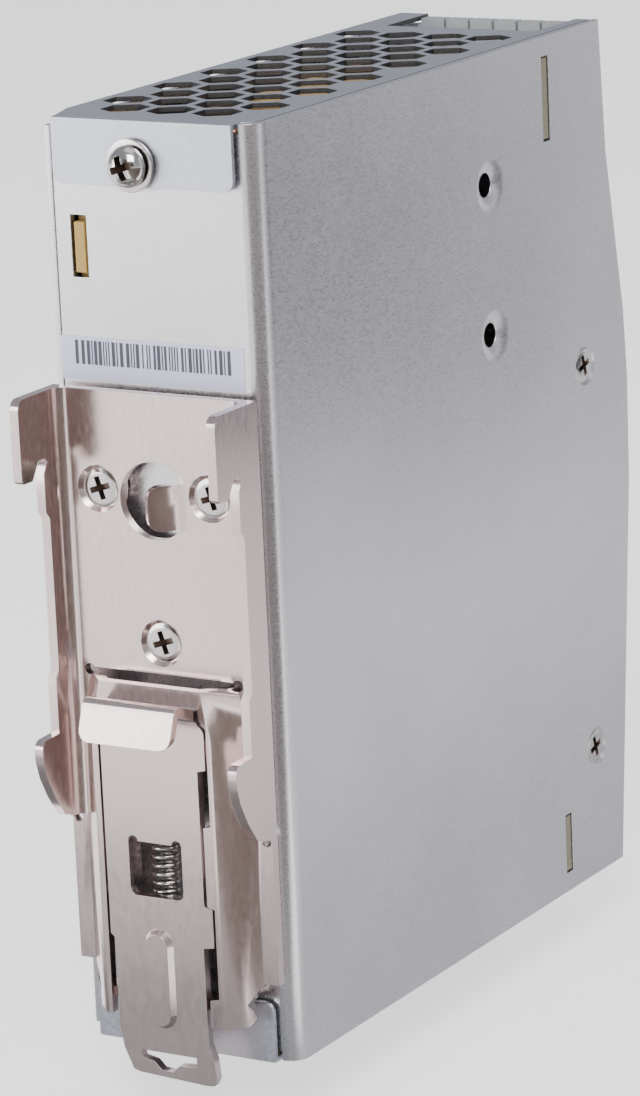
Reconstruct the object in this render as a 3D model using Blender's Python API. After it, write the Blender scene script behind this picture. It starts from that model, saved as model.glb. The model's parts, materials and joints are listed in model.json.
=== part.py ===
"""DIN rail power supply: a narrow sheet-metal case with a spring clip on its back.

Sizes are in millimetres and become metres through MM. The case frame has its origin on the
case's rear wall at bottom centre, with the terminals facing -Y and the rail clip facing +Y.
Everything hangs from one empty, which moves that frame so that the world's origin is at the
middle of the rail seat.
"""
import math

import bmesh
import bpy
from mathutils import Matrix, Vector

MM = 0.001

# Case
HALF_WIDTH = 16.0
HEIGHT = 125.2
SHEET = 1.0
COVER_SHEET = 0.7
BEND = 2.6                 # outer radius of the rear bend
GAP = 0.3                  # between pieces that touch
FRONT_OUTLINE = [(0.0, -95.0), (57.0, -100.5), (72.0, -100.8), (82.0, -100.1), (106.0, -96.0),
                 (HEIGHT, -94.8)]

# Rear tabs of the top and bottom covers, (low x, high x)
TOP_TAB = (-13.0, 14.2)
TOP_TAB_HEIGHT = 8.6
BOTTOM_TAB = (-13.0, 14.6)
BOTTOM_TAB_HEIGHT = 8.3
TAB_OUTER = 1.2            # y of a tab's outer face

# Vents: a honeycomb of hexagons whose corners point along Y
HEX_PITCH = 7.0
HEX_FLATS = 5.8
HEX_CENTRE_X = 1.2
TERMINAL_NOTCH = (-12.6, 11.4)

# Rail clip
CLIP_X = 0.3               # the clip's centre line
CLIP_HALF = 15.5
CLIP_SHEET = 1.3
CLIP_FACE = 2.9            # y of the clip plate's outer face
CLIP_TOP = 90.0
CLIP_BEND = 1.8
RAISED_FACE = 6.6          # y of the raised guide's outer face
RAIL_SEAT_Y = 6.9
RAIL_TOP = 81.2
RAIL_HEIGHT = 35.0
SCREW_SPREAD = 8.5
UPPER_SCREW_Z = 76.8
LOWER_SCREW_Z = 56.7
TONGUE_Z = 75.8
TONGUE_HOLE = 5.2

# Release lever
LEVER_HALF = 8.05
NOSE_HALF = 7.0
SPRING_BOTTOM = 9.2
SPRING_TOP = 30.2
SPRING_Y = 2.75
SPRING_RADIUS = 2.15
SPRING_WIRE = 0.6

# Boards
BOARD = 1.6
MAIN_BOARD_X = 10.7
TERMINAL_BOARD_Y = -78.9

# Terminals: poles, pitch, centre x, z of the screws, +1 for wires from above or -1 from below
OUTPUT_TERMINALS = dict(poles=6, pitch=3.9, centre=-0.6, screw_z=111.0, up=1, scale=1.0)
INPUT_TERMINALS = dict(poles=3, pitch=6.6, centre=0.0, screw_z=14.0, up=-1, scale=1.2)
BLOCK_FRONT = -93.9
BLOCK_REAR = TERMINAL_BOARD_Y - GAP

AXES = {"X": (1, 2, 0), "Y": (0, 2, 1), "Z": (0, 1, 2)}
MATERIALS = {
    "coated_steel": ((0.62, 0.62, 0.65), 0.38, 0.9),
    "galvanised": ((0.60, 0.63, 0.68), 0.42, 0.9),
    "nickel": ((0.72, 0.65, 0.62), 0.25, 1.0),
    "screw_steel": ((0.55, 0.53, 0.51), 0.28, 1.0),
    "spring_steel": ((0.45, 0.44, 0.43), 0.3, 1.0),
    "panel_plastic": ((0.62, 0.63, 0.66), 0.5, 0.0),
    "terminal_plastic": ((0.55, 0.57, 0.57), 0.5, 0.0),
    "terminal_metal": ((0.75, 0.73, 0.68), 0.3, 1.0),
    "board": ((0.56, 0.42, 0.20), 0.6, 0.0),
    "insulator": ((0.80, 0.78, 0.70), 0.5, 0.0),
    "ferrite": ((0.08, 0.08, 0.09), 0.6, 0.0),
    "tape": ((0.78, 0.60, 0.25), 0.5, 0.0),
    "copper": ((0.62, 0.34, 0.22), 0.35, 0.8),
    "can_sleeve": ((0.20, 0.13, 0.10), 0.4, 0.0),
    "film_case": ((0.75, 0.68, 0.35), 0.5, 0.0),
    "aluminium": ((0.62, 0.62, 0.63), 0.35, 1.0),
    "chip_case": ((0.04, 0.04, 0.045), 0.5, 0.0),
    "glass": ((0.80, 0.85, 0.85), 0.1, 0.0),
    "green_lens": ((0.10, 0.65, 0.20), 0.2, 0.0),
    "blue_plastic": ((0.06, 0.14, 0.50), 0.45, 0.0),
}


def clear_scene():
    for item in list(bpy.data.objects):
        bpy.data.objects.remove(item, do_unlink=True)


def material(slot):
    found = bpy.data.materials.get(slot)
    if found:
        return found
    colour, roughness, metallic = MATERIALS[slot]
    made = bpy.data.materials.new(slot)
    made.use_nodes = True
    shader = made.node_tree.nodes["Principled BSDF"]
    shader.inputs["Base Color"].default_value = (*colour, 1.0)
    shader.inputs["Roughness"].default_value = roughness
    shader.inputs["Metallic"].default_value = metallic
    return made


def placed(axis, a, b, along):
    """A point in metres from two numbers across an axis and one along it, in millimetres."""
    first, second, third = AXES[axis]
    point = [0.0, 0.0, 0.0]
    point[first] = a * MM
    point[second] = b * MM
    point[third] = along * MM
    return point


def add_loft(bm, sections, axis):
    """A closed solid through (outline, distance along the axis) sections with equal point counts."""
    rings = [[bm.verts.new(placed(axis, a, b, along)) for a, b in points] for points, along in sections]
    bm.faces.new(rings[0])
    bm.faces.new(rings[-1])
    for lower, upper in zip(rings, rings[1:]):
        for i in range(len(lower)):
            bm.faces.new((lower[i - 1], lower[i], upper[i], upper[i - 1]))


def add_prism(bm, outline, axis, low, high, high_outline=None):
    """A closed outline carried along an axis, to a second outline if one is given."""
    add_loft(bm, [(outline, low), (high_outline or outline, high)], axis)


def add_box(bm, x, y, z):
    """A box from three (low, high) pairs."""
    add_prism(bm, [(x[0], y[0]), (x[1], y[0]), (x[1], y[1]), (x[0], y[1])], "Z", z[0], z[1])


def add_turned(bm, profile, axis, centre, steps):
    """A profile of (radius, distance along the axis) points, turned about the axis."""
    local = bmesh.new()
    closed = min(radius for radius, _ in profile) > 0.0
    verts = [local.verts.new((radius * MM, 0.0, height * MM)) for radius, height in profile]
    edges = [local.edges.new(pair) for pair in zip(verts, verts[1:])]
    if closed:
        edges.append(local.edges.new((verts[-1], verts[0])))
    bmesh.ops.spin(local, geom=verts + edges, cent=(0, 0, 0), axis=(0, 0, 1), angle=math.tau, steps=steps)
    bmesh.ops.remove_doubles(local, verts=local.verts, dist=1e-6)
    bmesh.ops.dissolve_verts(local, verts=[vert for vert in local.verts if vert.co.xy.length < 1e-7])
    turns = {"X": Matrix.Rotation(math.pi / 2, 4, "Y"), "Y": Matrix.Rotation(-math.pi / 2, 4, "X"),
             "Z": Matrix.Identity(4)}
    local.transform(Matrix.Translation(Vector(centre) * MM) @ turns[axis])
    mesh = bpy.data.meshes.new("turned")
    local.to_mesh(mesh)
    local.free()
    bm.from_mesh(mesh)
    bpy.data.meshes.remove(mesh)


def add_cylinder(bm, radius, axis, centre, low, high, steps=20):
    """A cylinder between two coordinates on its axis; centre gives the other two."""
    add_turned(bm, [(0.0, low), (radius, low), (radius, high), (0.0, high)], axis, centre, steps)


def finish(name, bm, slot, frame, origin=(0.0, 0.0, 0.0)):
    """An object from a bmesh, hung from the frame with its origin at a point in millimetres."""
    bmesh.ops.recalc_face_normals(bm, faces=bm.faces)
    bm.transform(Matrix.Translation(-Vector(origin) * MM))
    mesh = bpy.data.meshes.new(name)
    bm.to_mesh(mesh)
    bm.free()
    mesh.shade_smooth()
    mesh.set_sharp_from_angle(angle=math.radians(35))
    made = bpy.data.objects.new(name, mesh)
    made.location = Vector(origin) * MM
    made.parent = frame
    bpy.context.scene.collection.objects.link(made)
    if slot:
        made.data.materials.append(material(slot))
    return made


def boolean(target, operation, name, bm, frame):
    """Cut a shape from the target, or join one to it; the shape itself stays a guide."""
    tool = finish(name, bm, None, frame)
    tool.hide_render = True
    tool.display_type = "WIRE"
    step = target.modifiers.new(name, "BOOLEAN")
    step.operation = operation
    step.solver = "EXACT"
    step.object = tool


def box_piece(name, slot, frame, x, y, z):
    bm = bmesh.new()
    add_box(bm, x, y, z)
    return finish(name, bm, slot, frame)


def arc(centre, radius, start, end, steps):
    """Points on an arc, with angles in degrees."""
    points = []
    for i in range(steps + 1):
        angle = math.radians(start + (end - start) * i / steps)
        points.append((centre[0] + radius * math.cos(angle), centre[1] + radius * math.sin(angle)))
    return points


def front_y(z):
    """The y of the side walls' front edge at a height."""
    for (z0, y0), (z1, y1) in zip(FRONT_OUTLINE, FRONT_OUTLINE[1:]):
        if z <= z1:
            return y0 + (y1 - y0) * (z - z0) / (z1 - z0)
    return FRONT_OUTLINE[-1][1]


def front_points(low, high, inset):
    """(y, z) points along the front between two heights, set back by an inset."""
    inner = [z for z, _ in FRONT_OUTLINE if low < z < high]
    return [(front_y(z) + inset, z) for z in [low] + inner + [high]]


def rounded_tab(low_x, high_x, base_z, tip_z, radius):
    """An (x, z) outline with round corners at its tip, which may lie above or below the base."""
    way = 1 if tip_z > base_z else -1
    left = arc((low_x + radius, tip_z - way * radius), radius, 180, 180 - way * 90, 4)
    right = arc((high_x - radius, tip_z - way * radius), radius, way * 90, 0, 4)
    return [(low_x, base_z)] + left + right + [(high_x, base_z)]


def hexagons(bm, axis_low, axis_high, limit_front):
    """The vent's hexagons, staggered by half a pitch in every other file."""
    radius = HEX_FLATS / math.sqrt(3)
    row = HEX_PITCH * math.sqrt(3) / 2
    for file in range(-3, 4):
        x = HEX_CENTRE_X + file * HEX_PITCH / 2
        y = -7.6 - (row if file % 2 else 0.0)
        while y - radius > limit_front:
            outline = [(x + radius * math.sin(math.radians(60 * k)),
                        y + radius * math.cos(math.radians(60 * k))) for k in range(6)]
            add_prism(bm, outline, "Z", axis_low, axis_high)
            y -= 2 * row


def chassis(frame):
    """The visible side wall and the rear wall, one bent sheet."""
    inner = -HALF_WIDTH + BEND
    section = [(HALF_WIDTH - SHEET, 0.0)] + arc((inner, -BEND), BEND, 90, 180, 6)
    section += [(-HALF_WIDTH, -103.0), (-HALF_WIDTH + SHEET, -103.0)]
    section += arc((inner, -BEND), BEND - SHEET, 180, 90, 6) + [(HALF_WIDTH - SHEET, -SHEET)]
    bm = bmesh.new()
    add_prism(bm, section, "Z", 0.0, HEIGHT)
    shell = finish("chassis_shell", bm, "coated_steel", frame)

    bm = bmesh.new()
    trim = front_points(0.0, HEIGHT, 0.0)
    outline = [(-110.0, -1.0), (trim[0][0], -1.0)] + trim + [(trim[-1][0], HEIGHT + 1), (-110.0, HEIGHT + 1)]
    add_prism(bm, outline, "X", -HALF_WIDTH - 1, -HALF_WIDTH + 2)
    for x, low, high in ((TOP_TAB, HEIGHT - SHEET - GAP, HEIGHT + 1), (BOTTOM_TAB, -1.0, SHEET + GAP)):
        add_box(bm, (x[0] - GAP, HALF_WIDTH), (-2 * SHEET, SHEET), (low, high))
    boolean(shell, "DIFFERENCE", "front_edge_cutter", bm, frame)

    bm = bmesh.new()
    add_box(bm, (10.3, 12.7), (-2 * SHEET, SHEET), (104.1, 112.3))
    for low, high in ((110.4, 122.4), (2.8, 11.6)):
        add_box(bm, (-HALF_WIDTH - 1, -HALF_WIDTH + 2), (-79.1, -77.1), (low, high))
    for z in (107.0, 86.0):
        add_turned(bm, [(0, -17), (4.9, -17), (3.9, -16.0), (1.7, -15.15), (1.7, -14), (0, -14)], "X",
                   (0, -61.0, z), 24)
    for z in (76.3, 19.2):
        add_turned(bm, [(0, -17), (3.9, -17), (2.95, -16.0), (1.8, -14.9), (1.8, -14), (0, -14)], "X",
                   (0, -87.6, z), 24)
    for x, z in screw_places():
        add_cylinder(bm, 1.8, "Y", (x, 0, z), -2, 1, 12)
    add_cylinder(bm, 1.8, "Y", (1.9, 0, 119.5), -2, 1, 12)
    boolean(shell, "DIFFERENCE", "wall_hole_cutter", bm, frame)


def side_cover(frame):
    """The flat wall on the other side, butted against the rear wall."""
    low = SHEET + GAP
    high = HEIGHT - SHEET - GAP
    outline = [(0.0, low)] + front_points(low, high, 0.0) + [(0.0, high)]
    bm = bmesh.new()
    add_prism(bm, outline, "X", HALF_WIDTH - SHEET + 0.1, HALF_WIDTH)
    finish("side_cover", bm, "coated_steel", frame)


def covers(frame):
    """Top and bottom covers: each a vented plate with a tab folded over the rear wall."""
    inside = -HALF_WIDTH + SHEET + 0.2
    rear = -SHEET - GAP
    for name, tab, plate, tip, slot in (
            ("top_cover", TOP_TAB, (HEIGHT - COVER_SHEET, HEIGHT), HEIGHT - TOP_TAB_HEIGHT, "galvanised"),
            ("bottom_cover", BOTTOM_TAB, (0.0, COVER_SHEET), BOTTOM_TAB_HEIGHT, "galvanised")):
        front = front_y(plate[0]) + 0.4
        outline = [(inside, rear - 1.7), (inside + 0.5, rear - 0.5), (tab[0], rear), (tab[0], TAB_OUTER),
                   (tab[1], TAB_OUTER), (tab[1] + 0.2, -0.4), (HALF_WIDTH, -5.6), (HALF_WIDTH, front)]
        if name == "top_cover":
            outline += [(TERMINAL_NOTCH[1], front), (TERMINAL_NOTCH[1], -82.0),
                        (TERMINAL_NOTCH[0], -82.0), (TERMINAL_NOTCH[0], front)]
        outline.append((inside, front))
        bm = bmesh.new()
        add_prism(bm, outline, "Z", plate[0], plate[1])
        cover = finish(name, bm, slot, frame)
        bm = bmesh.new()
        fold = rounded_tab(tab[0], tab[1], sum(plate) / 2, tip, 1.4)
        add_prism(bm, fold, "Y", TAB_OUTER - COVER_SHEET, TAB_OUTER)
        boolean(cover, "UNION", name + "_tab", bm, frame)
        bm = bmesh.new()
        hexagons(bm, plate[0] - 1, plate[1] + 1, -79.5)
        if name == "top_cover":
            add_cylinder(bm, 1.8, "Y", (1.9, 0, 119.5), -0.5, 2, 12)
        else:
            add_box(bm, (-12.0, 12.0), (-92.0, -81.5), (-1.0, 2.0))
        boolean(cover, "DIFFERENCE", name + "_holes", bm, frame)


def screw_places():
    upper = [(CLIP_X + side * SCREW_SPREAD, UPPER_SCREW_Z) for side in (1, -1)]
    return upper + [(CLIP_X, LOWER_SCREW_Z)]


def flange_outline():
    """One side of the clip in (y, z): hook, rail slot, seats with a relief between, and ear."""
    seat = RAIL_SEAT_Y
    hook = arc((10.6, CLIP_TOP - 1.4), 1.4, 90, 0, 4)
    slot = [(12.0, 79.3), (11.6, 78.8), (9.5, 78.8), (9.1, 79.4), (7.9, RAIL_TOP), (6.5, RAIL_TOP),
            (6.0, 80.6), (seat, 79.2)]
    relief = [(seat, 74.0), (6.1, 73.0), (6.1, 52.5), (seat, 51.5), (seat, 44.0)]
    ear = arc((9.8, 42.7), 1.2, 90, 0, 3)
    ear += [(10.9, 41.0), (10.2, 38.6), (8.6, 35.6), (6.5, 32.7), (CLIP_FACE, 31.6)]
    inner = CLIP_FACE - CLIP_SHEET
    return [(inner, CLIP_TOP)] + hook + slot + relief + ear + [(inner, 31.6)]


def hat_outline(base, flat, foot):
    """The whole section of the raised guide, both sides."""
    slope = (base - flat, RAISED_FACE - CLIP_FACE)
    step_x = CLIP_SHEET * (math.hypot(*slope) - slope[0]) / slope[1]
    right = [(foot, CLIP_FACE), (base, CLIP_FACE), (flat, RAISED_FACE)]
    under = [(flat - step_x, RAISED_FACE - CLIP_SHEET), (base - step_x, CLIP_FACE - CLIP_SHEET),
             (foot, CLIP_FACE - CLIP_SHEET)]
    outer = right + [(-x, y) for x, y in reversed(right)]
    inner = [(-x, y) for x, y in reversed(under)] + under
    return [(CLIP_X + x, y) for x, y in outer + inner]


def clip_bracket(frame):
    """Plate with two hooked side flanges and a raised guide for the lever below them."""
    foot = CLIP_HALF
    inner = CLIP_FACE - CLIP_SHEET
    plate = [(-foot, CLIP_TOP), (-foot, 50.5), (-11.6, 50.5), (-10.9, 52.5), (10.9, 52.5), (11.6, 50.5),
             (foot, 50.5), (foot, CLIP_TOP)]
    bm = bmesh.new()
    add_prism(bm, [(CLIP_X + x, z) for x, z in plate], "Y", inner, CLIP_FACE)
    clip = finish("clip_bracket", bm, "nickel", frame)

    bm = bmesh.new()
    low, high = hat_outline(13.1, 9.3, foot), hat_outline(11.2, 7.7, foot)
    add_loft(bm, [(low, 5.8), (low, 45.0), (high, 51.9)], "Z")
    boolean(clip, "UNION", "lever_guide", bm, frame)

    for side in (-1, 1):
        outer = CLIP_X + side * CLIP_HALF
        bm = bmesh.new()
        add_prism(bm, flange_outline(), "X", outer, outer - side * CLIP_SHEET)
        boolean(clip, "UNION", "flange", bm, frame)
        corner = outer - side * CLIP_SHEET
        centre = (corner - side * CLIP_BEND, CLIP_FACE + CLIP_BEND)
        start, end = (0, -90) if side > 0 else (180, 270)
        outline = [(corner + side * 0.4, centre[1])] + arc(centre, CLIP_BEND, start, end, 7)
        outline += [(centre[0], CLIP_FACE - 0.4), (corner + side * 0.4, CLIP_FACE - 0.4)]
        bm = bmesh.new()
        add_prism(bm, outline, "Z", 32.0, CLIP_TOP)
        boolean(clip, "UNION", "bend_fillet", bm, frame)

    for x, z in screw_places():
        bm = bmesh.new()
        add_turned(bm, [(0, GAP), (2.9, GAP), (4.1, inner + 0.2), (0, inner + 0.2)], "Y", (x, 0, z), 16)
        boolean(clip, "UNION", "dimple", bm, frame)
    bm = bmesh.new()
    seat_z = (SPRING_BOTTOM - 1.6, SPRING_BOTTOM - GAP)
    add_box(bm, (CLIP_X - 10.6, CLIP_X + 10.6), (inner + 0.2, 5.0), seat_z)
    boolean(clip, "UNION", "spring_seat", bm, frame)

    bm = bmesh.new()
    opening = [(8.4, 5.0), (8.4, 46.9), (8.1, 47.3), (7.5, 47.9), (7.35, 48.5), (7.35, 49.6), (-7.35, 49.6),
               (-7.35, 48.5), (-7.5, 47.9), (-8.1, 47.3), (-8.4, 46.9), (-8.4, 33.7), (-7.3, 33.4),
               (-7.3, 22.6), (-8.4, 22.3), (-8.4, 9.9), (-7.0, 9.6), (-7.0, 5.0)]
    add_prism(bm, [(CLIP_X + x, z) for x, z in opening], "Y", 5.15, 7.5)
    for side in (-1, 1):
        corner = [(16.6, 11.6), (13.2, 11.6), (11.4, 8.9), (11.8, 6.8), (11.2, 5.0), (16.6, 5.0)]
        add_prism(bm, [(CLIP_X + side * x, z) for x, z in corner], "Y", 0.5, 7.5)
        add_cylinder(bm, 0.7, "Y", (CLIP_X + side * 14.6, 0, 31.3), 0.5, 7.5, 12)
        add_cylinder(bm, 0.8, "Y", (CLIP_X + side * 11.4, 0, 52.1), 0.5, 7.5, 12)
    for x, z in screw_places():
        cone = [(0, 3.3), (3.2, 3.3), (3.2, CLIP_FACE), (1.8, 1.5), (1.8, 0), (0, 0)]
        add_turned(bm, cone, "Y", (x, 0, z), 16)
    add_prism(bm, arc((CLIP_X, TONGUE_Z), TONGUE_HOLE, 145, -145, 28), "Y", 0.5, 3.5)
    boolean(clip, "DIFFERENCE", "clip_cutter", bm, frame)

    bm = bmesh.new()
    add_prism(bm, [(b, a) for a, b in rounded_tab(-3.3, 2.7, 0.0, 5.4, 1.6)], "Y", -0.6, 0.6)
    root = Vector((CLIP_X - 4.7, CLIP_FACE - 0.65, TONGUE_Z)) * MM
    bm.transform(Matrix.Translation(root) @ Matrix.Rotation(math.pi / 4, 4, "Z"))
    boolean(clip, "UNION", "tongue", bm, frame)


def release_lever(frame):
    """Flat lever in the guide: a catch nose at its top, wings behind the guide, a slot at its tip."""
    plate = [(NOSE_HALF, 49.3), (NOSE_HALF, 47.9), (7.2, 47.3), (7.8, 46.8), (LEVER_HALF, 46.3),
             (LEVER_HALF, 17.0), (7.5, 16.6), (7.4, 4.0), (6.9, 1.2), (5.6, -1.7), (4.6, -2.0), (-5.8, -2.5),
             (-6.9, -2.4), (-7.4, -1.5), (-7.1, 1.4), (-6.4, 3.3), (-6.4, 16.7), (-LEVER_HALF, 17.0),
             (-LEVER_HALF, 22.3), (-6.8, 22.6), (-6.8, 41.0),
             (-LEVER_HALF, 41.3), (-LEVER_HALF, 46.3), (-7.8, 46.8), (-7.2, 47.3), (-NOSE_HALF, 47.9),
             (-NOSE_HALF, 49.3)]
    inner = RAISED_FACE - CLIP_SHEET
    bm = bmesh.new()
    add_prism(bm, [(CLIP_X + x, z) for x, z in plate], "Y", inner, RAISED_FACE)
    lever = finish("release_lever", bm, "nickel", frame, (CLIP_X, RAISED_FACE, 25.0))

    nose = [(inner, 49.3), (6.9, 49.3), (10.4, 50.9), (11.2, 50.9), (11.8, 50.3), (13.5, 45.6), (12.35, 45.2),
            (10.8, 49.55), (10.5, 49.65), (7.1, 48.1), (RAISED_FACE, 47.6), (inner, 47.6)]
    bm = bmesh.new()
    add_prism(bm, nose, "X", CLIP_X - NOSE_HALF, CLIP_X + NOSE_HALF)
    boolean(lever, "UNION", "nose", bm, frame)
    for low, high in ((17.6, 21.8), (41.6, 44.9)):
        for side in (-1, 1):
            bm = bmesh.new()
            near, far = CLIP_X + side * 5.8, CLIP_X + side * 9.0
            add_box(bm, sorted((near, far)), (3.3, 4.55), (low, high))
            boolean(lever, "UNION", "wing", bm, frame)
            bm = bmesh.new()
            add_box(bm, sorted((near + side * 0.1, CLIP_X + side * 6.7)), (4.0, 5.6), (low + 0.1, high - 0.1))
            boolean(lever, "UNION", "joggle", bm, frame)
    bm = bmesh.new()
    add_box(bm, (CLIP_X + 4.7, CLIP_X + 5.6), (3.3, 5.6), (24.4, 30.6))
    boolean(lever, "UNION", "window_lip", bm, frame)
    bm = bmesh.new()
    add_box(bm, (CLIP_X - 2.0, CLIP_X + 3.0), (0.9, 5.6), (30.5, 31.8))
    boolean(lever, "UNION", "spring_tongue", bm, frame)
    bm = bmesh.new()
    rib_x = CLIP_X + 0.5
    wide = arc((rib_x, 16.3), 2.5, 180, 0, 7) + arc((rib_x, 6.9), 2.5, 0, -180, 7)
    narrow = arc((rib_x, 16.3), 1.7, 180, 0, 7) + arc((rib_x, 6.9), 1.7, 0, -180, 7)
    add_prism(bm, wide, "Y", RAISED_FACE - 0.4, RAISED_FACE + 0.8, narrow)
    boolean(lever, "UNION", "rib", bm, frame)

    bm = bmesh.new()
    window = arc((-2.7, 23.9), 1.0, 180, 270, 4) + arc((3.5, 23.9), 1.0, 270, 360, 4)
    window += arc((3.75, 30.4), 0.75, 0, 180, 5) + arc((-2.95, 30.4), 0.75, 0, 180, 5)
    add_prism(bm, [(CLIP_X + x, z) for x, z in window], "Y", inner - 0.2, 8.0)
    slot = [(-4.4, 1.2), (4.4, 1.2), (4.1, 0.2), (2.2, -0.2), (1.2, -1.2), (-0.6, -1.3), (-1.6, -0.3),
            (-4.4, -0.1)]
    add_prism(bm, [(CLIP_X + x, z) for x, z in slot], "Y", inner - 0.2, 8.0)
    for side in (-1, 1):
        corner = [(7.3, 44.5)] + arc((5.4, 47.2), 1.6, 0, -90, 4) + [(5.4, 44.5)]
        add_prism(bm, [(CLIP_X + side * x, z) for x, z in corner], "Y", 9.0, 15.0)
    boolean(lever, "DIFFERENCE", "lever_cutter", bm, frame)


def lever_spring(frame):
    """Compression coil between the guide's seat and the lever's tongue, closed at both ends."""
    turns, per_turn = 15.0, 10
    radius = SPRING_RADIUS - SPRING_WIRE / 2
    height = SPRING_TOP - SPRING_BOTTOM - SPRING_WIRE
    curve = bpy.data.curves.new("lever_spring", "CURVE")
    curve.dimensions = "3D"
    curve.bevel_depth = SPRING_WIRE / 2 * MM
    curve.bevel_resolution = 1
    curve.use_fill_caps = True
    steps = int(turns * per_turn)
    line = curve.splines.new("POLY")
    line.points.add(steps)
    for i in range(steps + 1):
        share = i / steps
        angle = math.tau * turns * share
        z = SPRING_BOTTOM + SPRING_WIRE / 2 + height * share
        line.points[i].co = (radius * math.cos(angle) * MM, radius * math.sin(angle) * MM, z * MM, 1.0)
    spring = bpy.data.objects.new("lever_spring", curve)
    spring.location = Vector((CLIP_X + 0.9, SPRING_Y, 0.0)) * MM
    spring.parent = frame
    curve.materials.append(material("spring_steel"))
    bpy.context.scene.collection.objects.link(spring)


def cross_outline(half, width):
    """A Phillips recess's plus shape."""
    quarter = [(half, width), (width, width), (width, half)]
    points = []
    for k in range(4):
        cos, sin = round(math.cos(k * math.pi / 2)), round(math.sin(k * math.pi / 2))
        points += [(cos * a - sin * b, sin * a + cos * b) for a, b in quarter]
    return points


def driven_screw(name, frame, axis, centre, profile, recess_low, recess_high, half=1.35):
    """A screw with a Phillips recess; the profile is turned about the axis."""
    bm = bmesh.new()
    add_turned(bm, profile, axis, centre, 16)
    screw = finish(name, bm, "screw_steel", frame, centre)
    first, second, _ = AXES[axis]
    bm = bmesh.new()
    cross = [(centre[first] + a, centre[second] + b) for a, b in cross_outline(half, 0.33)]
    add_prism(bm, cross, axis, recess_low, recess_high)
    boolean(screw, "DIFFERENCE", name + "_recess", bm, frame)


def fasteners(frame):
    for place, (x, z) in zip(("left", "right", "lower"), screw_places()):
        profile = [(0, 2.55), (2.6, 2.55), (1.45, 1.3), (1.45, -2.7), (0, -2.7)]
        driven_screw("bracket_screw_" + place, frame, "Y", (x, 0, z), profile, 1.3, 3.2)
    for place, z in (("upper", 76.3), ("lower", 19.2)):
        profile = [(0, -15.85), (2.6, -15.85), (1.4, -14.6), (1.4, -12.2), (0, -12.2)]
        driven_screw("side_screw_" + place, frame, "X", (0, -87.6, z), profile, -16.5, -14.7)
    x, z = 1.9, 119.5
    washer = bmesh.new()
    add_turned(washer, [(1.8, 1.5), (3.6, 1.5), (3.6, 2.2), (1.8, 2.2)], "Y", (x, 0, z), 20)
    finish("cover_washer", washer, "screw_steel", frame)
    dome = [(0, 4.5), (1.2, 4.5), (2.1, 4.2), (2.65, 3.5), (2.8, 2.5)]
    profile = dome + [(1.45, 2.5), (1.45, -4.0), (0, -4.0)]
    driven_screw("cover_screw", frame, "Y", (x, 0, z), profile, 3.3, 5.5)


def front_panel(frame):
    """Moulded front between the side walls, with room for the terminals, the lamp and the trimmer."""
    low, high = SHEET + GAP, HEIGHT - SHEET - GAP
    outline = front_points(low, high, 0.8) + list(reversed(front_points(low, high, 2.8)))
    bm = bmesh.new()
    add_prism(bm, outline, "X", -14.7, 14.8)
    panel = finish("front_panel", bm, "panel_plastic", frame)
    for z in (19.2, 76.3):
        bm = bmesh.new()
        add_box(bm, (-14.7, -12.1), (front_y(z) + 1.8, -83.6), (z - 4, z + 4))
        boolean(panel, "UNION", "screw_lug", bm, frame)
    bm = bmesh.new()
    add_box(bm, TERMINAL_NOTCH, (-104, -90), (101.2, 130))
    add_box(bm, (-10.6, 10.6), (-104, -90), (-2, 26.2))
    add_cylinder(bm, 1.8, "Y", (-7.0, 0, 92.0), -104, -90, 16)
    add_cylinder(bm, 2.5, "Y", (4.5, 0, 90.0), -104, -90, 20)
    for z in (19.2, 76.3):
        add_cylinder(bm, 1.7, "X", (0, -87.6, z), -15.5, -11.5, 12)
    boolean(panel, "DIFFERENCE", "panel_cutter", bm, frame)


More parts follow.
